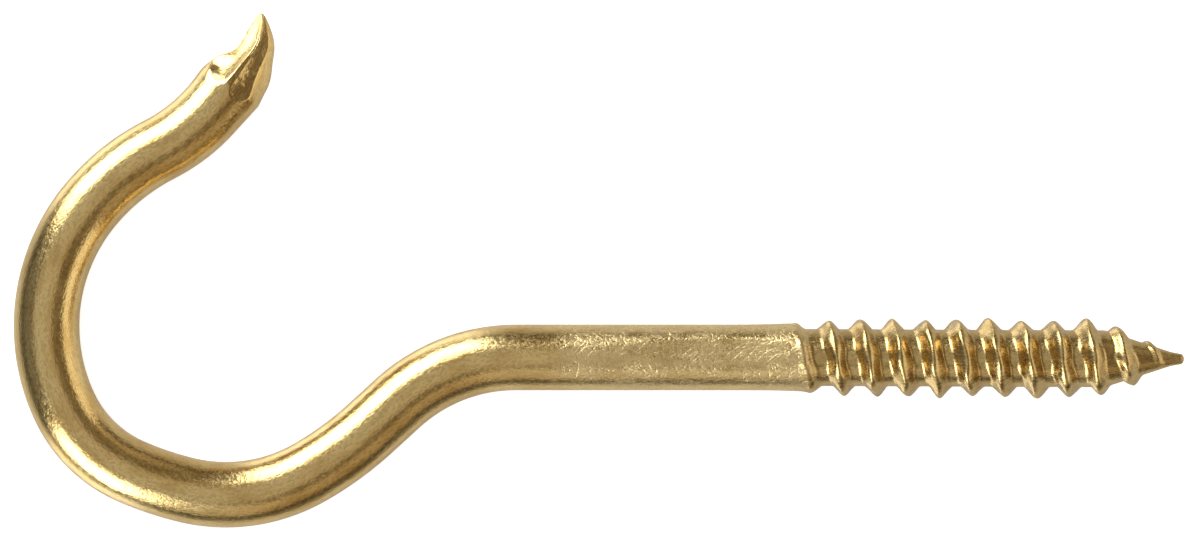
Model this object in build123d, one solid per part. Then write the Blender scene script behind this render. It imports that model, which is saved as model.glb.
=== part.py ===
"""Screw hook formed from one length of brass wire.

One piece of metal: a shank with a rolled wood thread and a gimlet point at one end, an
S-bend that brings the axis of the shank to the middle of the bow, an open bow, and a free
end that is pinched to a four-sided point and bent up.

Millimetres, +Z up. The hook lies flat, as it rests on a table: the wire's centre line is in
the plane Z = 0. The shank lies along +X with its screw point forward, the origin is on its
axis where the full wire ends and the thread begins, and the mouth of the bow opens to +Y.
"""
from build123d import *
from dataclasses import dataclass
import math
import os

# Wire, drawn to size before the thread is rolled
wire_diameter = 4.5
wire_radius = wire_diameter / 2

# Shank: rolling the thread pushes a little metal back, so the last of the wire is swollen
swell_length = 3.0
swell_radius = 2.34
shoulder_length = 0.55

# Rolled thread
core_diameter = 3.9
crest_diameter = 5.3
thread_pitch = 2.2
first_crest_on_top = 2.05
threaded_length = 26.4
core_radius = core_diameter / 2
crest_radius = crest_diameter / 2
full_ridge_height = crest_radius - core_radius

# Thread ridge in section, for its full height: a sharp crest on a foot buried in the core
foot_half_width = 0.88
foot_depth = 0.05
thinnest_ridge_share = 0.12

# Start of the ridge, which grows out of the shoulder
ridge_start_turn = -1.0
run_in_loss = 0.45
run_in_length = 1.8

# Gimlet point
core_taper_start = 21.0
core_taper_end = 25.5
core_taper_end_radius = 0.48
blunt_tip_radius = 0.32
crest_taper_start = 19.6
crest_taper_length = 6.3
crest_taper_power = 1.75
ridge_end = 25.1
stretch_turns = 0.5
points_per_stretch = 16

# Bending sequence of the wire from the thread back to the pinched end: each bend has its
# centre-line radius and its angle, positive to the left as the wire is followed
shank_straight = 19.3
s_bend = (12.0, 42.5)
s_bend_straight = 2.5
bow_bends = ((23.0, -13.0), (11.5, -43.0), (23.0, -10.0), (9.0, -41.5), (13.0, -65.0), (15.0, -23.0))
lip_bend = (12.0, 20.5)
lip_straight = 1.9

# Pinched point beyond the lip: its own centre line, and its four-sided section by distance
# along it, as the reach of the left and right corners and the height of the other two
point_straight = 1.5
point_bend = (4.4, 38.0)
point_end_straight = 1.5
pinch_stations = (
    (-0.35, 3.70, 3.70, 3.70),
    (0.15, 2.80, 2.75, 2.90),
    (0.70, 2.30, 2.16, 2.42),
    (2.10, 1.80, 1.62, 1.62),
    (3.20, 1.28, 1.25, 1.15),
    (4.30, 1.02, 1.01, 0.82),
    (5.20, 0.60, 0.68, 0.52),
    (5.92, 0.16, 0.18, 0.16),
)


@dataclass(frozen=True)
class Run:
    """One straight or one bend of the wire; a straight has no radius."""

    length: float
    radius: float = 0.0
    side: int = 0


def straight(length):
    """Return a straight run."""
    return Run(length)


def bend(radius, angle):
    """Return a bend of a centre-line radius through an angle in degrees, left positive."""
    return Run(radius * math.radians(abs(angle)), radius, 1 if angle > 0 else -1)


def step_along(point, heading, run, distance):
    """Return the point and heading in radians after a distance along one run."""
    if run.side == 0:
        return point + Vector(math.cos(heading), math.sin(heading)) * distance, heading
    centre = bend_centre(point, heading, run)
    turned = heading + run.side * distance / run.radius
    outward = Vector(math.sin(turned), -math.cos(turned)) * run.side
    return centre + outward * run.radius, turned


def bend_centre(point, heading, run):
    """Return the centre of the bend that starts at a point with a heading."""
    inward = Vector(-math.sin(heading), math.cos(heading)) * run.side
    return point + inward * run.radius


def place_on(runs, point, heading, distance):
    """Return the section plane at a distance along a list of runs.

    The plane's X axis points to the left of the wire, its Y axis up, and its normal along it.
    """
    for run in runs:
        if distance <= run.length or run is runs[-1]:
            break
        point, heading = step_along(point, heading, run, run.length)
        distance -= run.length
    point, heading = step_along(point, heading, run, distance)
    along = Vector(math.cos(heading), math.sin(heading))
    left = Vector(-math.sin(heading), math.cos(heading))
    return Plane(origin=point, x_dir=left, z_dir=along)


def end_of(runs, point, heading):
    """Return the point and heading at the end of a list of runs."""
    for run in runs:
        point, heading = step_along(point, heading, run, run.length)
    return point, heading


def formed_wire(runs, point, heading):
    """Bend a round wire through a list of runs: straights are extruded, bends revolved."""
    pieces = []
    for run in runs:
        section = place_on([run], point, heading, 0) * Circle(wire_radius)
        if run.side == 0:
            pieces.append(extrude(section, amount=run.length))
        else:
            axis = Axis(bend_centre(point, heading, run), (0, 0, run.side))
            pieces.append(revolve(section, axis, revolution_arc=math.degrees(run.length / run.radius)))
        point, heading = step_along(point, heading, run, run.length)
    return pieces


def core_radius_at(x):
    """Return the radius of the core at a distance along the screw."""
    if x <= core_taper_start:
        return core_radius
    share = (x - core_taper_start) / (core_taper_end - core_taper_start)
    return core_radius + (core_taper_end_radius - core_radius) * min(share, 1.0)


def crest_radius_at(x):
    """Return the radius of the thread's crest: it grows in at the shoulder and runs to a point."""
    radius = crest_radius - run_in_loss * math.exp(-x / run_in_length)
    if x > crest_taper_start:
        share = (x - crest_taper_start) / crest_taper_length
        radius = min(radius, crest_radius * (1 - share**crest_taper_power))
    return max(radius, core_radius_at(x) - foot_depth / 2)


def threaded_blank():
    """Revolve the swollen end of the shank, the shoulder, the core and the gimlet point."""
    outline = Polyline(
        (-swell_length, 0),
        (-swell_length, wire_radius),
        (0, swell_radius),
        (shoulder_length, core_radius),
        (core_taper_start, core_radius),
        (core_taper_end, core_taper_end_radius),
        (threaded_length, blunt_tip_radius),
        (threaded_length, 0),
        close=True,
    )
    return revolve(make_face(outline), Axis.X)


def ridge_curve(turns, side):
    """Return one edge of a stretch of the thread ridge, a spline through points of its helix.

    Turns are counted from the first crest on top. Side 0 is the crest, and -1 and 1 are the
    two feet, whose spread is a share of the ridge's height where they are, so that the section
    keeps its shape as the ridge grows in and runs out.
    """
    points = []
    for i in range(points_per_stretch + 1):
        turn = turns[0] + (turns[1] - turns[0]) * i / points_per_stretch
        middle = first_crest_on_top + thread_pitch * turn
        ridge_height = crest_radius_at(middle) - core_radius_at(middle)
        scale = max(ridge_height / full_ridge_height, thinnest_ridge_share)
        x = middle + side * foot_half_width * scale
        radius = core_radius_at(x) - foot_depth if side else crest_radius_at(middle)
        angle = 2 * math.pi * turn
        points.append(Vector(x, radius * math.cos(angle), radius * math.sin(angle)))
    return Edge.make_spline(points)


def ridge_stretch(turns):
    """Build a stretch of the ridge: two helical flanks and a base, and a cap at each end."""
    edges = [ridge_curve(turns, side) for side in (-1, 0, 1)]
    faces = [Face.make_surface_from_curves(a, b) for a, b in zip(edges, edges[1:] + edges[:1])]
    for end in (0, 1):
        corners = [edge.position_at(end) for edge in edges]
        faces.append(Face(Wire.make_polygon(corners, close=True)))
    return Solid(Shell(faces))


def thread_ridge():
    """Build the whole right-hand ridge, half a turn at a time."""
    last_turn = (ridge_end - first_crest_on_top) / thread_pitch
    count = math.ceil((last_turn - ridge_start_turn) / stretch_turns)
    stretches = []
    for i in range(count):
        start = ridge_start_turn + i * stretch_turns
        stretches.append(ridge_stretch((start, min(start + stretch_turns, last_turn))))
    return stretches


def pinched_point(point, heading):
    """Pinch the end of the wire: the round wire cut down to a curved four-sided point."""
    runs = [straight(point_straight), bend(*point_bend), straight(point_end_straight)]
    sections = []
    for distance, left, right, height in pinch_stations:
        plane = place_on(runs, point, heading, distance)
        corners = Polyline((left, 0), (0, height), (-right, 0), (0, -height), close=True)
        sections.append(plane * make_face(corners))
    diamond = loft(sections)
    return [piece & diamond for piece in formed_wire(runs, point, heading)]


def screw_hook():
    """Build the whole hook as one solid."""
    start = Vector(-swell_length, 0)
    heading = math.pi
    runs = [straight(shank_straight - swell_length), bend(*s_bend), straight(s_bend_straight)]
    runs += [bend(*step) for step in bow_bends]
    runs += [bend(*lip_bend), straight(lip_straight)]
    body = threaded_blank() + thread_ridge()
    body += formed_wire(runs, start, heading)
    body += pinched_point(*end_of(runs, start, heading))
    return body.clean()


def main():
    """Write the hook to its STEP file."""
    os.makedirs("parts", exist_ok=True)
    hook = screw_hook()
    export_step(hook, "parts/hook.step")


main()
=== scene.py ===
"""Screw hook bent from one length of brass wire, lying on a white sheet and seen from above.

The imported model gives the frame. The whole hook is then made again as one closed surface: its
rolled thread, the shank with the marks of the tool that held it, the bent wire, and the end
that is pinched to a four-sided point. Lengths in the dataclasses are in millimetres, angles in
degrees, and meshes are in metres.
"""
from __future__ import annotations

import logging
import math
from dataclasses import dataclass
from enum import Enum
from typing import Any

import bpy
import numpy as np
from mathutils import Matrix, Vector

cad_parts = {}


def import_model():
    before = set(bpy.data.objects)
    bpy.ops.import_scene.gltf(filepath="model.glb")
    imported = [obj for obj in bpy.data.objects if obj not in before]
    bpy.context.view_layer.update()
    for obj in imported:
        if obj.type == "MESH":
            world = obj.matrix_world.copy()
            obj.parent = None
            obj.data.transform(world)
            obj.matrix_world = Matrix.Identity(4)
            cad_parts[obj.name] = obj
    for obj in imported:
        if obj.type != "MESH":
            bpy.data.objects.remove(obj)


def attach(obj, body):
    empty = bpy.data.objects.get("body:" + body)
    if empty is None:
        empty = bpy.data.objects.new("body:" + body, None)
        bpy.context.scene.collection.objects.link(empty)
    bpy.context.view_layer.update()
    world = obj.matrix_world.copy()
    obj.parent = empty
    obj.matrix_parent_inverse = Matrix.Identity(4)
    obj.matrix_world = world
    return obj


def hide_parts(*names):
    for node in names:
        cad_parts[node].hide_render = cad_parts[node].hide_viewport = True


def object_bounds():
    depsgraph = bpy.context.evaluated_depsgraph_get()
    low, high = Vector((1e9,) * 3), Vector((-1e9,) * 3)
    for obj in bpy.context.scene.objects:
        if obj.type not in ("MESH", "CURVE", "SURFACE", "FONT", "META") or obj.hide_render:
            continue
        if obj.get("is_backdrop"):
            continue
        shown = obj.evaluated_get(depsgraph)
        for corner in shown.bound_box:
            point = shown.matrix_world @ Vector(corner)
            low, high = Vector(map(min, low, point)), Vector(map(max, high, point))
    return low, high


LOG = logging.getLogger("hook")
MM = 0.001
WHITE = (1.0, 1.0, 1.0, 1.0)
STRAIGHTENED = "straightened"

# Least angle or length that counts, and the spacing in metres within which points are welded
TINY = 1e-9
WELD_GRID = 1e-8

# Types of the node trees
Tree = bpy.types.NodeTree
Node = bpy.types.Node
Socket = bpy.types.NodeSocket

# Setting of a Map Range node, and the sockets of a Mix node that mixes colours
SMOOTH = {"interpolation_type": "SMOOTHSTEP"}
MIX_SHARE = 0
MIX_UNDER = 6
MIX_OVER = 7
MIX_RESULT = 2


def linear(hex_colour: str) -> tuple[float, float, float, float]:
    """Turn an sRGB hex colour into linear RGBA.

    Args:
        hex_colour: Six hex digits, as in "D8BC7A".

    Returns:
        Linear red, green and blue, and an alpha of 1.
    """
    parts = [int(hex_colour[i : i + 2], 16) / 255 for i in (0, 2, 4)]
    curve = [c / 12.92 if c <= 0.04045 else ((c + 0.055) / 1.055) ** 2.4 for c in parts]
    return (curve[0], curve[1], curve[2], 1.0)


def smooth_step(value: np.ndarray, low: float, high: float) -> np.ndarray:
    """Rise from 0 at low to 1 at high along 3t^2 - 2t^3."""
    t = np.clip((value - low) / (high - low), 0.0, 1.0)
    return t * t * (3.0 - 2.0 * t)


def smooth_table(at: np.ndarray, xs: np.ndarray, ys: np.ndarray) -> np.ndarray:
    """Follow a smooth curve through a few points.

    Between two points the curve is the cubic whose slope at each is the mean slope of its
    neighbours; beyond the ends it keeps the end value.

    Args:
        at: Where the curve is wanted.
        xs: The points' places, rising.
        ys: The points' values.

    Returns:
        The curve's values, in the shape of at.
    """
    slope = np.gradient(ys, xs)
    where = np.clip(at, xs[0], xs[-1])
    i = np.clip(np.searchsorted(xs, where, side="right") - 1, 0, len(xs) - 2)
    width = xs[i + 1] - xs[i]
    t = (where - xs[i]) / width
    start = (2 * t**3 - 3 * t**2 + 1) * ys[i] + (t**3 - 2 * t**2 + t) * width * slope[i]
    end = (-2 * t**3 + 3 * t**2) * ys[i + 1] + (t**3 - t**2) * width * slope[i + 1]
    return start + end


@dataclass(frozen=True)
class Run:
    """One straight or bend of the wire; a straight has no radius, a left bend a positive angle."""

    length: float = 0.0
    radius: float = 0.0
    angle: float = 0.0

    @property
    def distance(self) -> float:
        """Length along the centre line."""
        return self.radius * math.radians(abs(self.angle)) if self.radius else self.length

    @property
    def curvature(self) -> float:
        """Turn in radians for each millimetre, positive to the left."""
        return math.copysign(1.0 / self.radius, self.angle) if self.radius else 0.0


@dataclass(frozen=True)
class WireLine:
    """Centre line of the wire, followed from the shoulder of the thread towards the point."""

    runs: tuple[Run, ...] = (
        Run(length=19.3),
        Run(radius=12.0, angle=42.5),
        Run(length=2.5),
        Run(radius=23.0, angle=-13.0),
        Run(radius=11.5, angle=-43.0),
        Run(radius=23.0, angle=-10.0),
        Run(radius=9.0, angle=-41.5),
        Run(radius=13.0, angle=-65.0),
        Run(radius=15.0, angle=-23.0),
        Run(radius=12.0, angle=20.5),
        Run(length=1.9),
        Run(length=1.5),
        Run(radius=4.4, angle=38.0),
        Run(length=1.5),
    )
    runs_before_point: int = 11

    @property
    def point_start(self) -> float:
        """Distance from the shoulder to where the pinched point begins."""
        return sum(run.distance for run in self.runs[: self.runs_before_point])

    def place(self, along: np.ndarray) -> tuple[np.ndarray, np.ndarray]:
        """Find the centre line and its left side at distances from the shoulder.

        A run of curvature k that starts at heading h reaches heading h + k d after d, and the
        point moves by (sin(h + k d) - sin h, cos h - cos(h + k d)) / k.

        Args:
            along: Distances, negative on the thread's side of the shoulder.

        Returns:
            The centres and the unit vectors to the left, in the shape of along with a last
            axis of two.
        """
        centre = np.zeros(along.shape + (2,))
        heading = np.zeros(along.shape)
        point, turned, start = np.zeros(2), math.pi, 0.0
        for number, run in enumerate(self.runs):
            here = along >= start if number else np.ones(along.shape, bool)
            d = along[here] - start
            heading[here] = turned + run.curvature * d
            centre[here] = point + self._step(turned, run.curvature, d)
            point = point + self._step(turned, run.curvature, np.array([run.distance]))[0]
            turned += run.curvature * run.distance
            start += run.distance
        left = np.stack([-np.sin(heading), np.cos(heading)], axis=-1)
        return centre, left

    @staticmethod
    def _step(heading: float, curvature: float, d: np.ndarray) -> np.ndarray:
        """Find how far the point moves along a run.

        Args:
            heading: Heading at the run's start, in radians.
            curvature: Turn in radians for each millimetre.
            d: Distances along the run.

        Returns:
            The moves across and up, a row for each distance.
        """
        if curvature == 0.0:
            return d[:, None] * np.array([math.cos(heading), math.sin(heading)])
        end = heading + curvature * d
        across = np.sin(end) - math.sin(heading)
        up = math.cos(heading) - np.cos(end)
        return np.stack([across, up], axis=-1) / curvature


@dataclass(frozen=True)
class Dent:
    """A small flat knock in the surface: its place along and round the wire, size and depth."""

    along: float
    around: float
    length: float
    width: float
    depth: float
    tilt: float = 0.0

    def fall(self, along: np.ndarray, around: np.ndarray) -> np.ndarray:
        """Depth of the knock: depth (1 + tilt u) exp(-(u^4 + v^4)), u and v from its middle.

        Args:
            along: Distances along the wire.
            around: Angles round the wire, in radians.

        Returns:
            How far the surface is pushed in, in millimetres.
        """
        turn = np.angle(np.exp(1j * (around - math.radians(self.around))))
        u = (along - self.along) / self.length
        v = turn / math.radians(self.width)
        return self.depth * (1.0 + self.tilt * u) * np.exp(-(u**4) - v**4)


@dataclass(frozen=True)
class Facet:
    """A flat struck into the round wire: its place, where it faces, and how far it lies out."""

    along: float
    faces: float
    length: float
    distance: float
    lean: float = 0.0
    bow: float = 0.05
    least_facing: float = 0.2

    def limit(self, along: np.ndarray, around: np.ndarray) -> np.ndarray:
        """Radius of the flat: (p + q u + b u^2) / cos t, t from where it faces, u from its middle.

        Args:
            along: Distances along the wire.
            around: Angles round the wire, in radians.

        Returns:
            The radii in millimetres, large where the flat faces away.
        """
        u = (along - self.along) / self.length
        facing = np.maximum(np.cos(around - math.radians(self.faces)), self.least_facing)
        return (self.distance + self.lean * u + self.bow * u**2) / facing


@dataclass(frozen=True)
class Wave:
    """A sine that runs round the screw and along it."""

    waves_per_turn: float
    along: float
    start: float = 0.0
    size: float = 1.0

    def height(self, turn: np.ndarray, place: np.ndarray) -> np.ndarray:
        """Height of the wave: size sin(2 pi n turn + k place + start)."""
        angle = 2 * math.pi * self.waves_per_turn * turn + self.along * place + self.start
        return self.size * np.sin(angle)


@dataclass(frozen=True)
class RolledThread:
    """Right-hand wood thread, rolled on the swollen end of the wire, with its gimlet point."""

    pitch: float = 2.2
    first_crest: float = 2.05
    length: float = 26.4
    start: float = -0.6
    droop: float = 0.25
    spare_turns: int = 2

    # Ridge: the half width of its foot narrows with its height, by a power of it
    core_radius: float = 1.95
    crest_radius: float = 2.65
    foot_half_width: float = 0.52
    foot_narrowing: float = 0.8
    flank_hollow: float = 1.30
    crest_rounding: float = 0.38
    thinnest_ridge_share: float = 0.12

    # Ends of the ridge
    run_in_loss: float = 0.45
    run_in_length: float = 1.8
    run_in_start: float = -0.9
    run_in_rise: float = 1.0
    ridge_end: float = 25.6
    run_out_length: float = 0.8

    # Gimlet point
    core_taper_start: float = 21.0
    core_taper_end: float = 25.5
    core_taper_end_radius: float = 0.48
    tip_radius: float = 0.32
    tip_rounding: float = 0.22
    crest_taper_start: float = 19.6
    crest_taper_length: float = 6.3
    crest_taper_power: float = 1.75

    # Unevenness that rolling leaves: the crests wander along the screw, and their height varies
    wander_size: float = 0.035
    wander: tuple[Wave, ...] = (Wave(4.0, 2.1), Wave(7.0, -3.3))
    lump_height: float = 0.06
    lumps: tuple[Wave, ...] = (Wave(3.0, 1.7), Wave(4.6155, 4.1))

    # Shoulder: its radius by the distance along the screw, and the burr on its crushed edge
    shoulder: tuple[tuple[float, float], ...] = (
        (-4.5, 2.25),
        (-3.0, 2.262),
        (-1.6, 2.30),
        (-0.80, 2.325),
        (-0.45, 2.335),
        (-0.15, 2.34),
        (0.08, 2.24),
        (0.30, 2.06),
        (0.52, 1.96),
        (0.90, 1.95),
    )
    shoulder_lean: float = 1.1
    shoulder_end: float = 2.4
    burr_place: float = -0.15
    burr_length: float = 0.45
    burr_overhang: float = 0.08
    burr_height: float = 0.022
    burr: tuple[Wave, ...] = (
        Wave(5.0, 4.0, 1.2),
        Wave(8.0, -3.0, -0.6, 0.8),
        Wave(13.0, 5.0, 0.0, 0.6),
    )

    # Rows of the grid, by their distance to either side of a crest
    offsets: tuple[float, ...] = (
        0.0, 0.02, 0.05, 0.09, 0.15, 0.23, 0.33, 0.44, 0.56, 0.68, 0.80, 0.92, 1.02,
    )

    def shoulder_radius(self, x: np.ndarray, turn: np.ndarray) -> np.ndarray:
        """Radius of the shoulder, whose crushed edge follows the first turn of the thread.

        The table of the shoulder is read at x - c (1 - cos(2 pi turn)) / 2, and its edge stands
        up by an overhang and a few uneven waves, times a bell curve of the distance from it.

        Args:
            x: Distances along the screw.
            turn: Turns about the axis from the top.

        Returns:
            The radii in millimetres.
        """
        xs, ys = np.array(self.shoulder).T
        under = (1.0 - np.cos(2 * math.pi * turn)) / 2
        edge = x - self.shoulder_lean * under
        lumps = self.burr_height * sum(wave.height(turn, edge) for wave in self.burr)
        near = np.exp(-(((edge - self.burr_place) / self.burr_length) ** 2))
        return smooth_table(edge, xs, ys) + (lumps + self.burr_overhang * under) * near

    def blank_radius(self, x: np.ndarray) -> np.ndarray:
        """Radius of the metal under the ridge: a cylinder, a cone, a blunter cone and a round tip.

        Args:
            x: Distances along the screw.

        Returns:
            The radii in millimetres.
        """
        share = (x - self.core_taper_start) / (self.core_taper_end - self.core_taper_start)
        taper = self.core_radius + (self.core_taper_end_radius - self.core_radius) * share
        end_share = (x - self.core_taper_end) / (self.length - self.core_taper_end)
        nose = self.core_taper_end_radius + (self.tip_radius - self.core_taper_end_radius) * end_share
        radius = np.where(x > self.core_taper_start, taper, self.core_radius)
        radius = np.where(x > self.core_taper_end, nose, radius)
        into_tip = np.clip((x - self.length + self.tip_rounding) / self.tip_rounding, 0.0, 1.0)
        return radius * np.sqrt(1.0 - into_tip**2)

    def crest_height(self, x: np.ndarray) -> np.ndarray:
        """Height of the crest over the core.

        The crest's radius is R - a exp(-x / b) at the shoulder and R (1 - s^n) along the point,
        whichever is less, and the height fades to nothing at both ends of the ridge.

        Args:
            x: Distances of the crest along the screw.

        Returns:
            The heights in millimetres.
        """
        crest = self.crest_radius - self.run_in_loss * np.exp(-x / self.run_in_length)
        share = np.clip((x - self.crest_taper_start) / self.crest_taper_length, 0.0, 1.0)
        crest = np.minimum(crest, self.crest_radius * (1.0 - share**self.crest_taper_power))
        height = np.maximum(crest - self.blank_radius(x), 0.0)
        run_in = smooth_step(x, self.run_in_start, self.run_in_start + self.run_in_rise)
        run_out = 1.0 - smooth_step(x, self.ridge_end - self.run_out_length, self.ridge_end)
        return height * run_in * run_out

    def radius(self, x: np.ndarray, turn: np.ndarray) -> np.ndarray:
        """Radius of the threaded surface.

        The ridge stands h (1 - d / w)^p over the core, where d is the distance to the nearest
        crest along the screw, w the half width of its foot and p its hollow.

        Args:
            x: Distances along the screw from the shoulder.
            turn: Turns about the axis from the top, against which the helix rises.

        Returns:
            The radii in millimetres.
        """
        wander = self.wander_size * sum(wave.height(turn, x) for wave in self.wander)
        phase = (x + wander - self.first_crest) / self.pitch - turn
        nearest = np.round(phase)
        signed = self.pitch * (phase - nearest)
        height = self.crest_height(x - signed)
        full = self.crest_radius - self.core_radius
        scale = np.clip(height / full, self.thinnest_ridge_share, 1.0) ** self.foot_narrowing
        away = np.sqrt(signed**2 + self.crest_rounding**2) - self.crest_rounding
        rise = np.clip(1.0 - away / (self.foot_half_width * scale), 0.0, 1.0) ** self.flank_hollow
        lumps = self.lump_height * sum(wave.height(turn, nearest) for wave in self.lumps)
        threaded = self.blank_radius(x) + height * (1.0 + lumps / full) * rise
        with_shoulder = np.maximum(self.shoulder_radius(x, turn), threaded)
        return np.where(x < self.shoulder_end, with_shoulder, threaded)

    def rows(self, columns: int) -> tuple[np.ndarray, np.ndarray]:
        """Lay the grid of the thread along its helix.

        A row starts a fixed distance from a crest and climbs one pitch as it goes round, cut
        off at the two ends of the thread, so crests and feet lie along rows.

        Args:
            columns: Number of columns round the wire.

        Returns:
            Distances along the screw and turns, each a row for every line along the helix.
        """
        one_pitch = np.array(sorted({-o for o in self.offsets[1:]} | set(self.offsets)))
        first = math.floor((self.start - self.first_crest) / self.pitch) - self.spare_turns
        last = math.ceil((self.length - self.first_crest) / self.pitch) + self.spare_turns
        crests = self.first_crest + self.pitch * np.arange(first, last + 1)
        starts = (crests[:, None] + one_pitch[None, :]).ravel()
        turn = 0.5 - np.arange(columns) / columns
        x = np.clip(starts[:, None] + self.pitch * turn[None, :], self.start, self.length)
        return x, np.broadcast_to(turn, x.shape)

    @property
    def rows_in_pitch(self) -> int:
        """Rows of the grid in one pitch."""
        return 2 * len(self.offsets) - 1


@dataclass(frozen=True)
class PointStation:
    """Section of the pinched point: corners as (to the left, up), upper half only.

    The left side stands up to the edge height from a slight waist, the divide parts the two
    left facets, the ridge is a narrow flat between its two edges, and the rim is where the
    hollow right facet meets what is left of the round wire.
    """

    along: float
    left: float
    edge_height: float
    divide: tuple[float, float]
    ridge_left: float
    ridge_right: float
    ridge_height: float
    rim: tuple[float, float]
    right: float
    waist: float = 0.97

    def corners(self) -> list[tuple[float, float]]:
        """List the corners from the left side over the top to the right side.

        Returns:
            Seven corners, the first and the last at the height of the centre line.
        """
        return [
            (self.left * self.waist, 0.0),
            (self.left, self.edge_height),
            self.divide,
            (self.ridge_left, self.ridge_height),
            (self.ridge_right, self.ridge_height),
            self.rim,
            (-self.right, 0.0),
        ]


@dataclass(frozen=True)
class PinchedPoint:
    """End of the wire, pinched between angled jaws to a four-sided point and bent up."""

    stations: tuple[PointStation, ...] = (
        PointStation(-0.60, 2.64, 0.90, (2.10, 1.50), 0.42, 0.10, 2.72, (-1.30, 2.24), 2.66),
        PointStation(0.20, 2.42, 0.80, (1.94, 1.32), 0.42, 0.10, 2.32, (-1.40, 1.88), 2.38),
        PointStation(0.80, 2.26, 0.70, (1.66, 1.10), 0.42, 0.12, 2.14, (-1.36, 1.72), 2.20),
        PointStation(2.10, 1.80, 0.62, (1.14, 1.04), 0.49, 0.26, 1.66, (-0.74, 1.38), 1.77),
        PointStation(3.00, 1.38, 0.46, (0.90, 0.78), 0.36, 0.18, 1.27, (-0.66, 1.06), 1.34),
        PointStation(4.00, 1.10, 0.22, (0.60, 0.53), 0.12, -0.05, 0.93, (-0.66, 0.80), 1.10),
        PointStation(5.20, 0.62, 0.08, (0.20, 0.30), -0.06, -0.12, 0.50, (-0.40, 0.38), 0.64),
        PointStation(5.92, 0.20, 0.03, (0.08, 0.10), -0.05, -0.09, 0.17, (-0.16, 0.10), 0.24),
    )
    length: float = 6.02
    nose_rounding: float = 0.26
    row_spacing: float = 0.06

    # How far each side of the section is pressed in, as a share of its radius, and the columns
    # of the grid that its corners lie on, out of those in the upper half
    hollows: tuple[float, ...] = (0.0, -0.01, 0.03, 0.012, 0.04, -0.10)
    corner_columns: tuple[int, ...] = (0, 5, 14, 24, 28, 42, 56)

    # Where the columns move from even to those, and the metal pushed out on the left there
    blend_start: float = -1.6
    blend_end: float = 0.2
    bulge: float = 0.13
    bulge_length: float = 0.9

    # Small facet where the left side begins, and knocks along the ridge
    flats: tuple[Facet, ...] = (Facet(0.12, 57.0, 0.34, 2.18, -0.03, 0.03),)
    knocks: tuple[Dent, ...] = (
        Dent(0.95, 92.0, 0.22, 7.0, 0.022, 0.5),
        Dent(1.30, 108.0, 0.26, 8.0, 0.025, -0.6),
        Dent(1.85, 106.0, 0.24, 9.0, 0.02, 0.6),
    )

    def corner_places(self, along: np.ndarray) -> tuple[np.ndarray, np.ndarray]:
        """Find the section's corners: each follows a smooth curve through the stations.

        Args:
            along: Distances from the start of the point, one for each row.

        Returns:
            The corners' angles in radians and their radii, a column for each corner.
        """
        where = np.array([station.along for station in self.stations])
        places = np.array([station.corners() for station in self.stations])
        angles, radii = [], []
        for k in range(places.shape[1]):
            across = smooth_table(along, where, places[:, k, 0])
            up = smooth_table(along, where, places[:, k, 1])
            angles.append(np.arctan2(np.maximum(up, 0.0), across))
            radii.append(np.hypot(across, up))
        return np.stack(angles, axis=-1), np.stack(radii, axis=-1)

    def columns(self, along: np.ndarray, columns: int) -> np.ndarray:
        """Place the columns round the wire, so that each crease of the point lies on one.

        Between two creases the columns are evenly spread. The lower half mirrors the upper one.

        Args:
            along: Distances from the start of the point, one for each row.
            columns: Number of columns round the wire.

        Returns:
            Angles in radians, a row for each distance.
        """
        even = 2 * math.pi * np.arange(columns) / columns
        half = columns // 2
        angles, _ = self.corner_places(along)
        j = np.minimum(np.arange(columns), columns - np.arange(columns))
        marks = np.array(self.corner_columns) * half // self.corner_columns[-1]
        side = np.clip(np.searchsorted(marks, j, side="right") - 1, 0, len(marks) - 2)
        share = (j - marks[side]) / (marks[side + 1] - marks[side])
        upper = angles[:, side] * (1.0 - share) + angles[:, side + 1] * share
        creased = np.where(np.arange(columns) <= half, upper, 2 * math.pi - upper)
        blend = smooth_step(along, self.blend_start, self.blend_end)[:, None]
        return even * (1.0 - blend) + creased * blend

    def radius(self, along: np.ndarray, around: np.ndarray, wire: np.ndarray) -> np.ndarray:
        """Radius of the pinched end: the round wire, or the side of the section if it is nearer.

        The side between corners a and b is the line ra rb sin(b - a) / (ra sin(t - a) + rb
        sin(b - t)) at angle t, pressed in by a hollow that is deepest midway.

        Args:
            along: Distances from the start of the point, in the shape of around.
            around: Angles round the wire in radians.
            wire: Radius of the round wire there.

        Returns:
            The radii in millimetres.
        """
        angles, radii = self.corner_places(along[:, 0])
        t = np.where(around <= math.pi, around, 2 * math.pi - around)
        cut = np.full(around.shape, np.inf)
        for k, hollow in enumerate(self.hollows):
            a, b = angles[:, k : k + 1], angles[:, k + 1 : k + 2]
            ra, rb = radii[:, k : k + 1], radii[:, k + 1 : k + 2]
            line = ra * rb * np.sin(b - a) / (ra * np.sin(t - a) + rb * np.sin(b - t) + TINY)
            share = np.clip((t - a) / np.maximum(b - a, TINY), 0.0, 1.0)
            line = line * (1.0 - hollow * 4.0 * share * (1.0 - share))
            inside = (t >= a - TINY) & (t <= b + TINY)
            cut = np.where(inside, np.minimum(cut, line), cut)
        swell = self.bulge * np.exp(-((along / self.bulge_length) ** 2))
        radius = np.minimum(wire + swell * np.clip(np.cos(around), 0.0, 1.0) ** 2, cut)
        for flat in self.flats:
            radius = np.minimum(radius, flat.limit(along, t))
        for knock in self.knocks:
            radius = radius - knock.fall(along, t)
        into_nose = np.clip((along - self.length + self.nose_rounding) / self.nose_rounding, 0.0, 1.0)
        return radius * np.sqrt(1.0 - into_nose**2)


@dataclass(frozen=True)
class Grid:
    """Part of the skin: its points, their places on the straightened wire, and its quads."""

    points: np.ndarray
    straight: np.ndarray
    faces: np.ndarray


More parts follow.
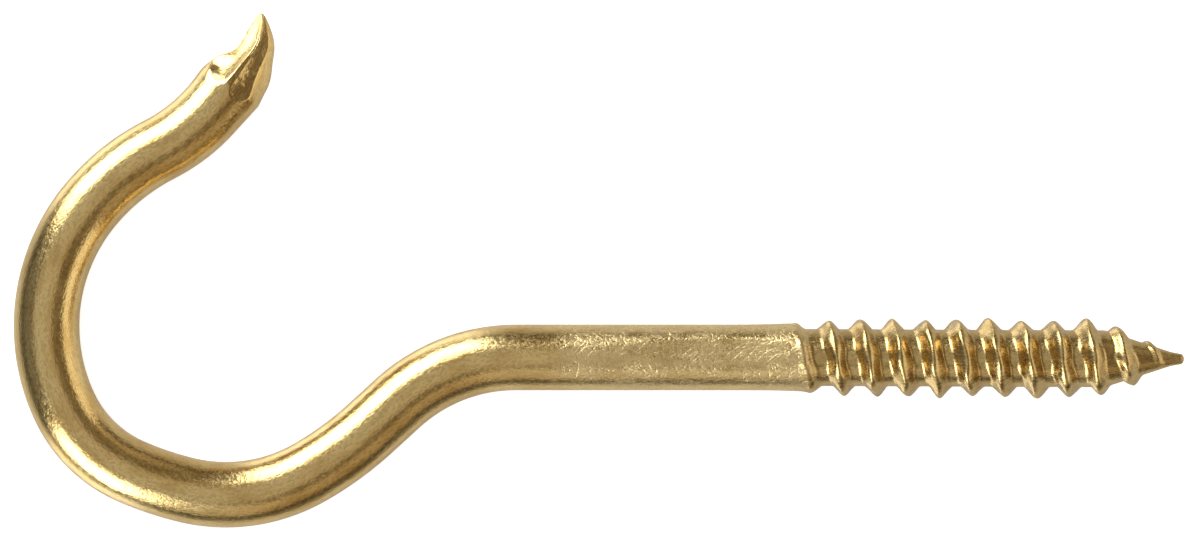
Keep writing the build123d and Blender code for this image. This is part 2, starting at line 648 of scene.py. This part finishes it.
@dataclass(frozen=True)
class BrassHook:
    """The hook itself: one closed skin over the thread, the bent wire and the point."""

    name: str = "brass_hook"
    node: str = "hook"
    slot: str = "brass"
    line: WireLine = WireLine()
    thread: RolledThread = RolledThread()
    point: PinchedPoint = PinchedPoint()
    wire_radius: float = 2.25
    swollen_length: float = 4.5
    columns: int = 112
    shank_length: float = 19.3
    shank_spacing: float = 0.16
    wire_spacing: float = 0.34

    # Marks of the jaws on the shank
    flats: tuple[Facet, ...] = (Facet(5.4, 102.0, 3.5, 2.04),)
    grips: tuple[Dent, ...] = (
        Dent(3.4, 84.0, 3.2, 26.0, 0.035),
        Dent(9.0, 96.0, 3.6, 24.0, 0.030),
        Dent(14.0, 82.0, 2.8, 26.0, 0.030),
        Dent(7.0, 52.0, 1.6, 14.0, 0.030, 0.5),
    )

    def build(self) -> bpy.types.Object:
        """Build the skin from its two grids and weld them.

        Returns:
            The mesh object, at the origin.
        """
        thread, wire = self._thread_grid(), self._wire_grid()
        points = np.concatenate([thread.points, wire.points])
        straight = np.concatenate([thread.straight, wire.straight])
        faces = np.concatenate([thread.faces, wire.faces + len(thread.points)])
        return weld_mesh(self.name, points * MM, faces, straight * MM)

    def _thread_grid(self) -> Grid:
        """Make the grid of the thread, whose last column meets the first one pitch further.

        Returns:
            The grid, which runs towards the screw point.
        """
        x, turn = self.thread.rows(self.columns)
        around = np.mod(math.pi * (1.0 - 2.0 * turn), 2 * math.pi)
        index = np.arange(x.size).reshape(x.shape)
        back = np.maximum(np.arange(len(x)) - self.thread.rows_in_pitch, 0)
        closed = np.concatenate([index, index[back, :1]], axis=1)
        return self._grid(-x, around, self.thread.radius(x, turn), closed[::-1])

    def _wire_grid(self) -> Grid:
        """Make the grid of the plain wire and the point, in rings across the centre line.

        Returns:
            The grid, which runs towards the pinched point.
        """
        end = self.line.point_start
        rings = self._rings(-self.thread.start, end + self.point.blend_start, end + self.point.length)
        around = self.point.columns(rings - end, self.columns)
        along = np.broadcast_to(rings[:, None], around.shape)
        wire = self._wire_radius(along, around)
        cut = self.point.radius(along - end, around, wire)
        radius = np.where(along - end > self.point.blend_start, cut, wire)
        index = np.arange(around.size).reshape(around.shape)
        closed = np.concatenate([index, index[:, :1]], axis=1)
        return self._grid(along, around, radius, closed)

    def _rings(self, start: float, point_start: float, end: float) -> np.ndarray:
        """Space the rings of the wire: closer on the shank, and closest on the point.

        Args:
            start: Where the grid of the thread ends.
            point_start: Where the closest rings begin.
            end: Where the point ends.

        Returns:
            Distances from the shoulder, rising.
        """
        shank = np.arange(start, self.shank_length, self.shank_spacing)
        bent = np.arange(self.shank_length, point_start, self.wire_spacing)
        pointed = np.arange(point_start, end, self.point.row_spacing)
        return np.concatenate([shank, bent, pointed, [end]])

    def _wire_radius(self, along: np.ndarray, around: np.ndarray) -> np.ndarray:
        """Radius of the wire with the marks of the jaws, swollen towards the thread.

        The dents are taken off, the flats limit what is left, and near the thread the radius
        changes by as much as the shoulder's differs from the wire's.

        Args:
            along: Distances from the shoulder.
            around: Angles round the wire in radians.

        Returns:
            The radii in millimetres.
        """
        wire = np.full(around.shape, self.wire_radius)
        for grip in self.grips:
            wire = wire - grip.fall(along, around)
        for flat in self.flats:
            wire = np.minimum(wire, flat.limit(along, around))
        near = along < self.swollen_length
        turn = 0.5 - around / (2 * math.pi)
        wire[near] += self.thread.radius(-along[near], turn[near]) - self.wire_radius
        return wire

    def _grid(self, along: np.ndarray, around: np.ndarray, radius: np.ndarray, index: np.ndarray) -> Grid:
        """Place points a radius from the centre line, at an angle from its left side.

        The thread droops: its centre line falls by its distance from the shoulder times the
        tangent of the droop. The finish reads each point's place on the wire before it was bent,
        which is the distance along it and the wire's radius times the angle's cosine and sine.

        Args:
            along: Distances along the wire.
            around: Angles round it in radians.
            radius: Radii in millimetres.
            index: The points' numbers in the order in which quads join them.

        Returns:
            The points and the quads between them.
        """
        centre, left = self.line.place(along)
        sag = np.maximum(-along, 0.0) * math.tan(math.radians(self.thread.droop))
        centre = centre - np.stack([np.zeros(along.shape), sag], axis=-1)
        flat = centre + left * (radius * np.cos(around))[..., None]
        points = np.concatenate([flat, (radius * np.sin(around))[..., None]], axis=-1)
        r = self.wire_radius
        straight = np.stack([along, r * np.cos(around), r * np.sin(around)], axis=-1)
        return Grid(points.reshape(-1, 3), straight.reshape(-1, 3), quads(index))


def quads(index: np.ndarray) -> np.ndarray:
    """Join neighbours in a grid of point numbers into quads that face outwards.

    Args:
        index: Point numbers, in rows across the wire.

    Returns:
        Four point numbers for each quad.
    """
    a, b = index[:-1, :-1], index[:-1, 1:]
    c, d = index[1:, 1:], index[1:, :-1]
    return np.stack([a, b, c, d], axis=-1).reshape(-1, 4)


def weld_mesh(name: str, points: np.ndarray, faces: np.ndarray, straight: np.ndarray) -> bpy.types.Object:
    """Weld points that coincide, drop faces that vanish, and make a smooth mesh object.

    Args:
        name: Name of the object and its mesh.
        points: Places in metres.
        faces: Four point numbers for each face.
        straight: Each point's place on the straightened wire.

    Returns:
        The new object, linked to the scene.
    """
    keys = np.round(points / WELD_GRID).astype(np.int64)
    _, first, inverse = np.unique(keys, axis=0, return_index=True, return_inverse=True)
    welded = inverse.reshape(-1)[faces]
    kept = welded != np.roll(welded, -1, axis=1)
    corners = kept.sum(axis=1)
    whole = welded[corners == 4].tolist()
    thin = welded[corners == 3][kept[corners == 3]].reshape(-1, 3).tolist()
    mesh = bpy.data.meshes.new(name)
    mesh.from_pydata(points[first].tolist(), [], whole + thin)
    attribute = mesh.attributes.new(STRAIGHTENED, "FLOAT_VECTOR", "POINT")
    attribute.data.foreach_set("vector", straight[first].astype(np.float32).ravel())
    mesh.polygons.foreach_set("use_smooth", np.ones(len(mesh.polygons), bool))
    mesh.validate()
    mesh.update()
    piece = bpy.data.objects.new(name, mesh)
    bpy.context.scene.collection.objects.link(piece)
    return piece


class Maths(Enum):
    """What a node does with its values."""

    ADD = "ADD"
    SUBTRACT = "SUBTRACT"
    MULTIPLY = "MULTIPLY"
    MULTIPLY_ADD = "MULTIPLY_ADD"
    MAXIMUM = "MAXIMUM"
    ABSOLUTE = "ABSOLUTE"
    WRAP = "WRAP"
    DOT_PRODUCT = "DOT_PRODUCT"
    ARCSINE = "ARCSINE"
    ARCCOSINE = "ARCCOSINE"
    ARCTAN2 = "ARCTAN2"


def add_node(tree: Tree, kind: str, inputs: dict[str | int, Any] | None = None, **settings: Any) -> Node:
    """Add a node, set it up and link it.

    Args:
        tree: The node tree.
        kind: The node's type name, without ShaderNode before it.
        inputs: Input sockets by name or number, each with a value, an output socket, or a node
            whose first output is meant.
        settings: Properties of the node and their values.

    Returns:
        The new node.
    """
    node = tree.nodes.new("ShaderNode" + kind)
    for key, value in settings.items():
        setattr(node, key, value.value if isinstance(value, Enum) else value)
    for key, value in (inputs or {}).items():
        source = value.outputs[0] if isinstance(value, Node) else value
        if isinstance(source, Socket):
            tree.links.new(source, node.inputs[key])
        else:
            node.inputs[key].default_value = source
    return node


@dataclass(frozen=True)
class Change:
    """A smooth change from low to high while a reading goes from start to end."""

    start: float
    end: float
    low: float = 0.0
    high: float = 1.0

    @classmethod
    def between_angles(cls, start: float, end: float, low: float, high: float) -> Change:
        """Make a change between two angles in degrees, for a reading in radians."""
        return cls(math.radians(start), math.radians(end), low, high)

    def inputs(self, reading: Any) -> dict[str, Any]:
        """Give the inputs of the Map Range node that makes the change."""
        ends = {"From Min": self.start, "From Max": self.end, "To Min": self.low, "To Max": self.high}
        return {"Value": reading, **ends}


@dataclass(frozen=True)
class Grain:
    """Noise whose grains have a size along and across the wire, turned about the upright axis."""

    along: float
    across: float
    detail: float = 2.0
    turn: float = 0.0
    roughness: float = 0.6

    def build(self, tree: Tree, place: Node) -> Node:
        """Make the noise: fractal noise of the place, turned and divided by the grain's sizes.

        Args:
            tree: The node tree.
            place: Node that gives the place in millimetres.

        Returns:
            The node that gives the noise, from 0 to 1.
        """
        angle = math.radians(self.turn)
        fineness = (1 / self.along, 1 / self.across, 1 / self.across)
        turned = add_node(tree, "VectorRotate", {0: place, "Angle": angle}, rotation_type="Z_AXIS")
        divided = add_node(tree, "VectorMath", {0: turned, 1: fineness}, operation=Maths.MULTIPLY)
        noise = {"Vector": divided, "Scale": 1.0, "Detail": self.detail, "Roughness": self.roughness}
        return add_node(tree, "TexNoise", noise)


@dataclass(frozen=True)
class DrawnBrass:
    """Brass wire, cold drawn and then bent in steel jaws.

    Drawing leaves a bright golden skin with faint lines along the wire. Handling adds pits, each
    with a darker speck in it, and a light brown tarnish in patches. The jaws leave scratches and
    a paler haze on the shank, and the thread comes rougher from its rolls. Over the whole thread
    the colour is painted darker, as painted shade for its grooves. Pits and lines are drawn
    coarser than real ones, so that they show in the picture.
    """

    name: str = "drawn_brass"

    # Colours: the bright metal, and what lies over it by tarnish, by specks, by painted shade on
    # the thread, and by haze
    bright: str = "ECCE8C"
    tarnished: str = "CFA963"
    # The specks' colour, which is also the painted shade laid over the whole thread
    speck_and_shade_colour: str = "BCA06A"
    hazy: str = "EFD7A2"
    tarnish: Grain = Grain(2.8, 1.1, 4.0)
    tarnish_share: Change = Change(0.40, 0.72, 0.0, 0.8)
    speck_share: Change = Change(0.34, 0.56, 0.50, 0.0)
    haze_share: Change = Change(0.0, 1.0, 0.0, 0.5)
    # Painted shade: how much of the specks' colour lies over the whole thread, darkening it as the shade
    # in its grooves would
    thread_painted_shade: float = 0.5

    # Relief: each pattern's grain and its depth
    lines: Grain = Grain(9.0, 0.24, 3.0)
    line_depth: float = 0.0034
    ripples: Grain = Grain(2.75, 1.1)
    ripple_depth: float = 0.0055
    pits: Grain = Grain(0.272, 0.17)
    pit_depth: float = 0.019
    scratches: tuple[Grain, ...] = tuple(Grain(2.8, 0.55, 1.5, turn) for turn in (28.0, -37.0, 72.0, -8.0))
    scratch_level: float = 0.5
    scratch_line: Change = Change(0.0, 0.05, -1.0, 0.0)
    scratch_depth: float = 0.006

    # Roughness, by the noise of the pits, and how much the rolls and the jaws add
    roughness: Change = Change(0.3, 0.75, 0.15, 0.25)
    rolled_roughness: float = 0.05
    gripped_roughness: float = 0.12

    # Where the rolls and the jaws touched the wire, by the distance from the shoulder; the
    # jaws' marks have ragged ends and lie in patches
    rolled_end: Change = Change(-0.4, 0.4, 1.0, 0.0)
    grip_start: Change = Change(0.3, 0.9, 0.0, 1.0)
    grip_end: Change = Change(16.0, 18.8, 1.0, 0.0)
    ragged: Grain = Grain(1.2, 0.5)
    ragged_length: float = 2.4
    patches: Grain = Grain(3.4, 1.0)
    patch_share: Change = Change(0.36, 0.56, 0.45, 1.0)

    def build(self) -> bpy.types.Material:
        """Build the material's nodes.

        Returns:
            The finished material.
        """
        material = bpy.data.materials.new(self.name)
        material.use_nodes = True
        tree = material.node_tree
        tree.nodes.clear()
        place = add_node(tree, "Attribute", attribute_name=STRAIGHTENED)
        metres = {0: place.outputs["Vector"], 1: (1 / MM, 1 / MM, 1 / MM)}
        mm = add_node(tree, "VectorMath", metres, operation=Maths.MULTIPLY)
        pits = self.pits.build(tree, mm)
        along = add_node(tree, "SeparateXYZ", {0: mm})
        rolled = add_node(tree, "MapRange", self.rolled_end.inputs(along), **SMOOTH)
        gripped = self._gripped(tree, mm, along)
        relief = {"Height": self._height(tree, mm, pits, gripped), "Strength": 1.0, "Distance": 1.0}
        skin = {
            "Base Color": self._colour(tree, mm, pits, rolled, gripped),
            "Metallic": 1.0,
            "Roughness": self._roughness(tree, pits, rolled, gripped),
            "Normal": add_node(tree, "Bump", relief),
        }
        surface = add_node(tree, "BsdfPrincipled", skin)
        add_node(tree, "OutputMaterial", {"Surface": surface})
        return material

    def _gripped(self, tree: Tree, mm: Node, along: Node) -> Node:
        """Mark the stretch of the shank that the jaws held.

        Args:
            tree: The node tree.
            mm: Place on the straightened wire.
            along: Distance from the shoulder.

        Returns:
            The node that gives 0 off the stretch, and more in its patches than between them.
        """
        wandering = {0: self.ragged.build(tree, mm), 1: self.ragged_length, 2: along}
        uneven = add_node(tree, "Math", wandering, operation=Maths.MULTIPLY_ADD)
        parts = (
            self.grip_start.inputs(uneven),
            self.grip_end.inputs(uneven),
            self.patch_share.inputs(self.patches.build(tree, mm)),
        )
        held = 1.0
        for part in parts:
            share = add_node(tree, "MapRange", part, **SMOOTH)
            held = add_node(tree, "Math", {0: share, 1: held}, operation=Maths.MULTIPLY)
        return held

    def _scratches(self, tree: Tree, mm: Node) -> Node:
        """Draw thin lines in a few directions, where stretched noise crosses its middle value.

        Args:
            tree: The node tree.
            mm: Place on the straightened wire.

        Returns:
            The node that gives 0 beside the lines and less in them.
        """
        total = 0.0
        for scratch in self.scratches:
            noise = scratch.build(tree, mm)
            off = add_node(tree, "Math", {0: noise, 1: self.scratch_level}, operation=Maths.SUBTRACT)
            away = add_node(tree, "Math", {0: off}, operation=Maths.ABSOLUTE)
            line = add_node(tree, "MapRange", self.scratch_line.inputs(away), **SMOOTH)
            total = add_node(tree, "Math", {0: line, 1: total}, operation=Maths.ADD)
        return total

    def _height(self, tree: Tree, mm: Node, pits: Node, gripped: Node) -> Node:
        """Add up the lines, ripples, pits and scratches, each times its depth.

        Args:
            tree: The node tree.
            mm: Place on the straightened wire.
            pits: Noise of the pits.
            gripped: Where the jaws held the wire, and so where its scratches are.

        Returns:
            The node that gives the height in metres.
        """
        everywhere = self._scratches(tree, mm)
        scratches = add_node(tree, "Math", {0: everywhere, 1: gripped}, operation=Maths.MULTIPLY)
        layers = (
            (self.lines.build(tree, mm), self.line_depth),
            (self.ripples.build(tree, mm), self.ripple_depth),
            (pits, self.pit_depth),
            (scratches, self.scratch_depth),
        )
        height = 0.0
        for layer, depth in layers:
            raised = {0: layer, 1: depth * MM, 2: height}
            height = add_node(tree, "Math", raised, operation=Maths.MULTIPLY_ADD)
        return height

    def _colour(self, tree: Tree, mm: Node, pits: Node, rolled: Node, gripped: Node) -> Socket:
        """Lay tarnish, specks with the thread's painted shade, and haze over the bright metal in turn.

        Args:
            tree: The node tree.
            mm: Place on the straightened wire.
            pits: Noise of the pits, whose low places are specked.
            rolled: Where the thread rolls touched the wire, and so where the thread's painted shade lies.
            gripped: Where the jaws held it.

        Returns:
            The socket that gives the colour.
        """
        tarnish = self.tarnish_share.inputs(self.tarnish.build(tree, mm))
        specks = add_node(tree, "MapRange", self.speck_share.inputs(pits), **SMOOTH)
        # Specks, and the painted shade that darkens the whole thread
        speck_and_thread_shade = {0: rolled, 1: self.thread_painted_shade, 2: specks}
        layers = (
            (add_node(tree, "MapRange", tarnish, **SMOOTH), self.tarnished),
            (add_node(tree, "Math", speck_and_thread_shade, operation=Maths.MULTIPLY_ADD), self.speck_and_shade_colour),
            (add_node(tree, "MapRange", self.haze_share.inputs(gripped), **SMOOTH), self.hazy),
        )
        colour = linear(self.bright)
        for share, over in layers:
            mix = {MIX_SHARE: share, MIX_UNDER: colour, MIX_OVER: linear(over)}
            colour = add_node(tree, "Mix", mix, data_type="RGBA").outputs[MIX_RESULT]
        return colour

    def _roughness(self, tree: Tree, pits: Node, rolled: Node, gripped: Node) -> Node:
        """Roughen the skin by the noise of the pits, and more where rolls or jaws touched it.

        Args:
            tree: The node tree.
            pits: Noise of the pits.
            rolled: Where the thread rolls touched the wire.
            gripped: Where the jaws held it.

        Returns:
            The node that gives the roughness.
        """
        rough = add_node(tree, "MapRange", self.roughness.inputs(pits), **SMOOTH)
        for touched, more in ((rolled, self.rolled_roughness), (gripped, self.gripped_roughness)):
            added = {0: touched, 1: more, 2: rough}
            rough = add_node(tree, "Math", added, operation=Maths.MULTIPLY_ADD)
        return rough


@dataclass(frozen=True)
class CoatedSheet:
    """White sheet with a hard glossy coat, which the hook lies on.

    The camera sees it white, with the hook's shadow. The metal sees the studio reflected in its
    coat. That fades further off from the metal, as if the lit sheet ended there, and least for
    rays that head for the bright side, where +X and +Y meet. The coat's IOR is above a real
    one's, so that the metal has bright rims.
    """

    name: str = "sheet"
    side: float = 2400.0
    colour: str = "F2F1EE"
    roughness: float = 0.18
    ior: float = 2.8
    glow: float = 0.72
    glow_in_metal: float = 0.05

    # Fade: where it starts and ends by the distance from the metal, and how much of the light
    # goes. Then the azimuth of the bright side, and how much of the fade is left by the cosine
    # of the angle from it
    near: float = 6.0
    far: float = 18.0
    far_share: float = 0.7
    bright_side: float = 45.0
    bright_side_share: Change = Change(0.35, 0.62, 1.0, 0.2)

    def build(self, height: float) -> bpy.types.Object:
        """Lay the sheet.

        Args:
            height: Height of the sheet in metres.

        Returns:
            The sheet, which is part of the stage.
        """
        side = self.side * MM / 2
        corners = [(x * side, y * side, height) for x, y in ((-1, -1), (1, -1), (1, 1), (-1, 1))]
        mesh = bpy.data.meshes.new(self.name)
        mesh.from_pydata(corners, [], [(0, 1, 2, 3)])
        mesh.materials.append(self._finish())
        sheet = bpy.data.objects.new(self.name, mesh)
        bpy.context.scene.collection.objects.link(sheet)
        return sheet

    def _finish(self) -> bpy.types.Material:
        """Build the material's nodes.

        Returns:
            The finished material.
        """
        material = bpy.data.materials.new("coated_sheet")
        material.use_nodes = True
        tree = material.node_tree
        tree.nodes.clear()
        coat = {
            "Base Color": linear(self.colour),
            "Roughness": self.roughness,
            "IOR": self.ior,
            "Emission Color": WHITE,
            "Emission Strength": self._glow(tree),
        }
        surface = add_node(tree, "BsdfPrincipled", coat)
        unlit = add_node(tree, "Emission", {"Strength": 0.0})
        shown = add_node(tree, "MixShader", {0: self._far_off(tree), 1: surface, 2: unlit})
        add_node(tree, "OutputMaterial", {"Surface": shown})
        return material

    def _glow(self, tree: Tree) -> Node:
        """Light the sheet up for the camera, and less for rays that metal or glass sends on.

        Args:
            tree: The node tree.

        Returns:
            The node that gives the strength of the glow.
        """
        path = add_node(tree, "LightPath").outputs
        kinds = {0: path["Is Glossy Ray"], 1: path["Is Transmission Ray"]}
        sent = add_node(tree, "Math", kinds, operation=Maths.MAXIMUM)
        dim = add_node(tree, "Math", {0: sent, 1: self.glow_in_metal}, operation=Maths.MULTIPLY)
        both = {0: path["Is Camera Ray"], 1: self.glow, 2: dim}
        return add_node(tree, "Math", both, operation=Maths.MULTIPLY_ADD)

    def _far_off(self, tree: Tree) -> Node:
        """Rise for rays that metal sends on over a long way, and less towards the bright side.

        Args:
            tree: The node tree.

        Returns:
            The node that gives the share of the sheet that is unlit.
        """
        path = add_node(tree, "LightPath").outputs
        reach = Change(self.near * MM, self.far * MM, 0.0, self.far_share)
        far = add_node(tree, "MapRange", reach.inputs(path["Ray Length"]), **SMOOTH)
        bright = math.radians(self.bright_side)
        back = add_node(tree, "NewGeometry").outputs["Incoming"]
        ways = {0: back, 1: (-math.cos(bright), -math.sin(bright), 0.0)}
        towards = add_node(tree, "VectorMath", ways, operation=Maths.DOT_PRODUCT).outputs["Value"]
        weaker = add_node(tree, "MapRange", self.bright_side_share.inputs(towards), **SMOOTH)
        share = add_node(tree, "Math", {0: far, 1: weaker}, operation=Maths.MULTIPLY)
        return add_node(tree, "Math", {0: share, 1: path["Is Glossy Ray"]}, operation=Maths.MULTIPLY)


@dataclass(frozen=True)
class Panel:
    """A lamp screen or a wall of the studio, as the metal sees it, by azimuth and elevation."""

    azimuth: float
    half_width: float
    low: float
    high: float
    strength: float
    colour: str = "FFFFFF"
    softness: float = 7.0

    def build(self, tree: Tree, lift: Node, bearing: Node) -> Node:
        """Make the panel's light: its strength, times a smooth step at each of its edges.

        Args:
            tree: The node tree.
            lift: Elevation of the direction, in radians.
            bearing: Azimuth of the direction, in radians.

        Returns:
            The background node of the panel.
        """
        middle = math.radians(self.azimuth)
        off = add_node(tree, "Math", {0: bearing, 1: middle}, operation=Maths.SUBTRACT)
        turn = add_node(tree, "Math", {0: off, 1: math.pi, 2: -math.pi}, operation=Maths.WRAP)
        away = add_node(tree, "Math", {0: turn}, operation=Maths.ABSOLUTE)
        edges = (
            (away, self.half_width, 1.0, 0.0),
            (lift, self.low, 0.0, 1.0),
            (lift, self.high, self.strength, 0.0),
        )
        soft = self.softness / 2
        light = 1.0
        for reading, edge, before, after in edges:
            change = Change.between_angles(edge - soft, edge + soft, before, after)
            step = add_node(tree, "MapRange", change.inputs(reading), **SMOOTH)
            light = add_node(tree, "Math", {0: step, 1: light}, operation=Maths.MULTIPLY)
        return add_node(tree, "Background", {"Color": linear(self.colour), "Strength": light})


@dataclass(frozen=True)
class Studio:
    """White sheet, soft light and a camera straight above the hook."""

    # Camera: the middle of its picture, the width that it takes in, and its height
    centre: tuple[float, float] = (-13.543, 5.840)
    width_seen: float = 82.08
    camera_height: float = 700.0
    nearest_seen: float = 10.0
    sensor: float = 36.0

    sheet: CoatedSheet = CoatedSheet()

    # One lamp, for the shadow on the sheet
    lamp_place: tuple[float, float, float] = (-350.0, 350.0, 600.0)
    lamp_sides: tuple[float, float] = (500.0, 400.0)
    lamp_power: float = 1.6

    # Light of the surroundings: plain for matt surfaces, and a round ceiling for the metal
    fill: float = 0.60
    ceiling: float = 0.32
    ceiling_lean: float = 12.0
    ceiling_radius: float = 33.0
    ceiling_softness: float = 5.0

    # Two dim walls, two bright screens at the left, a strip and a dim screen above and below
    # the hook, a broad low screen at the right, and three dim warm ones
    panels: tuple[Panel, ...] = (
        Panel(180.0, 88.0, 4.0, 95.0, 0.20, "FDFCFA", 24.0),
        Panel(0.0, 92.0, 4.0, 95.0, 0.20, "FFE8C4", 24.0),
        Panel(125.0, 23.0, 6.0, 48.0, 5.5, "F6FAFF", 9.0),
        Panel(230.0, 17.0, 7.0, 48.0, 5.5, "F6FAFF", 9.0),
        Panel(97.0, 14.0, 43.0, 51.0, 0.50, softness=5.0),
        Panel(265.0, 15.0, 7.0, 52.0, 0.38),
        Panel(0.0, 38.0, -5.0, 29.0, 0.95, "FFFAF0"),
        Panel(55.0, 20.0, 14.0, 30.0, 0.26, "FFECD0"),
        Panel(298.0, 23.0, 33.0, 43.0, 0.30, "FFECD0"),
        Panel(298.0, 23.0, 13.0, 33.0, 0.20, "FFE4BC"),
    )

    def build(self, floor_height: float) -> None:
        """Set up the sheet, the light and the camera.

        Args:
            floor_height: Height of the sheet in metres.
        """
        sheet = self.sheet.build(floor_height)
        sheet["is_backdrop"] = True
        self._world()
        self._lamp()
        self._camera()
        bpy.context.scene.view_settings.view_transform = "Standard"
        LOG.info("sheet, lamp and %d panels", len(self.panels))

    def _world(self) -> None:
        """Paint the studio round the hook: white to the camera, walls and panels to the metal."""
        world = bpy.data.worlds.new("studio")
        bpy.context.scene.world = world
        world.use_nodes = True
        tree = world.node_tree
        tree.nodes.clear()
        way = add_node(tree, "TexCoord").outputs["Generated"]
        x, y, z = add_node(tree, "SeparateXYZ", {0: way}).outputs
        lift = add_node(tree, "Math", {0: z}, operation=Maths.ARCSINE)
        bearing = add_node(tree, "Math", {0: y, 1: x}, operation=Maths.ARCTAN2)
        studio = add_node(tree, "Background", {"Color": WHITE, "Strength": self._ceiling(tree, way)})
        for panel in self.panels:
            studio = add_node(tree, "AddShader", {0: studio, 1: panel.build(tree, lift, bearing)})
        plain = add_node(tree, "Background", {"Color": WHITE, "Strength": self.fill})
        white = add_node(tree, "Background", {"Color": WHITE, "Strength": 1.0})
        path = add_node(tree, "LightPath").outputs
        unseen = add_node(tree, "MixShader", {0: path["Is Glossy Ray"], 1: plain, 2: studio})
        seen = add_node(tree, "MixShader", {0: path["Is Camera Ray"], 1: unseen, 2: white})
        add_node(tree, "OutputWorld", {"Surface": seen})

    def _ceiling(self, tree: Tree, way: Socket) -> Node:
        """Make the light of the round pale ceiling, which leans towards -X.

        Args:
            tree: The node tree.
            way: The direction in which a ray goes.

        Returns:
            The node that gives the strength of the light.
        """
        lean = math.radians(self.ceiling_lean)
        ways = {0: way, 1: (-math.sin(lean), 0.0, math.cos(lean))}
        towards = add_node(tree, "VectorMath", ways, operation=Maths.DOT_PRODUCT).outputs["Value"]
        away = add_node(tree, "Math", {0: towards}, operation=Maths.ARCCOSINE)
        inner = self.ceiling_radius - self.ceiling_softness
        outer = self.ceiling_radius + self.ceiling_softness
        edge = Change.between_angles(inner, outer, self.ceiling, 0.0)
        return add_node(tree, "MapRange", edge.inputs(away), **SMOOTH)

    def _lamp(self) -> None:
        """Hang a large soft lamp at the upper left; the metal sees the panels in its stead."""
        light = bpy.data.lights.new("soft_lamp", "AREA")
        light.shape = "RECTANGLE"
        light.size = self.lamp_sides[0] * MM
        light.size_y = self.lamp_sides[1] * MM
        light.energy = self.lamp_power
        lamp = bpy.data.objects.new("soft_lamp", light)
        lamp.location = Vector(self.lamp_place) * MM
        lamp.rotation_euler = (-lamp.location).to_track_quat("-Z", "Y").to_euler()
        lamp.visible_glossy = False
        bpy.context.scene.collection.objects.link(lamp)

    def _camera(self) -> None:
        """Hang the camera straight above, framed as the photograph is."""
        data = bpy.data.cameras.new("camera")
        data.sensor_width = self.sensor
        data.lens = self.sensor * self.camera_height / self.width_seen
        data.clip_start = self.nearest_seen * MM
        camera = bpy.data.objects.new("camera", data)
        camera.location = Vector((*self.centre, self.camera_height)) * MM
        bpy.context.scene.collection.objects.link(camera)
        bpy.context.scene.camera = camera


def main() -> None:
    """Load the frame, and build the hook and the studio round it."""
    logging.basicConfig(level=logging.INFO, format="%(name)s: %(message)s")
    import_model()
    packed_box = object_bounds()
    hook = BrassHook()
    piece = hook.build()
    piece.data.materials.append(DrawnBrass().build())
    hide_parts(hook.node)
    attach(piece, "root")
    LOG.info("%s: %d faces", piece.name, len(piece.data.polygons))
    Studio().build(packed_box[0].z)


if __name__ == "__main__":
    main()
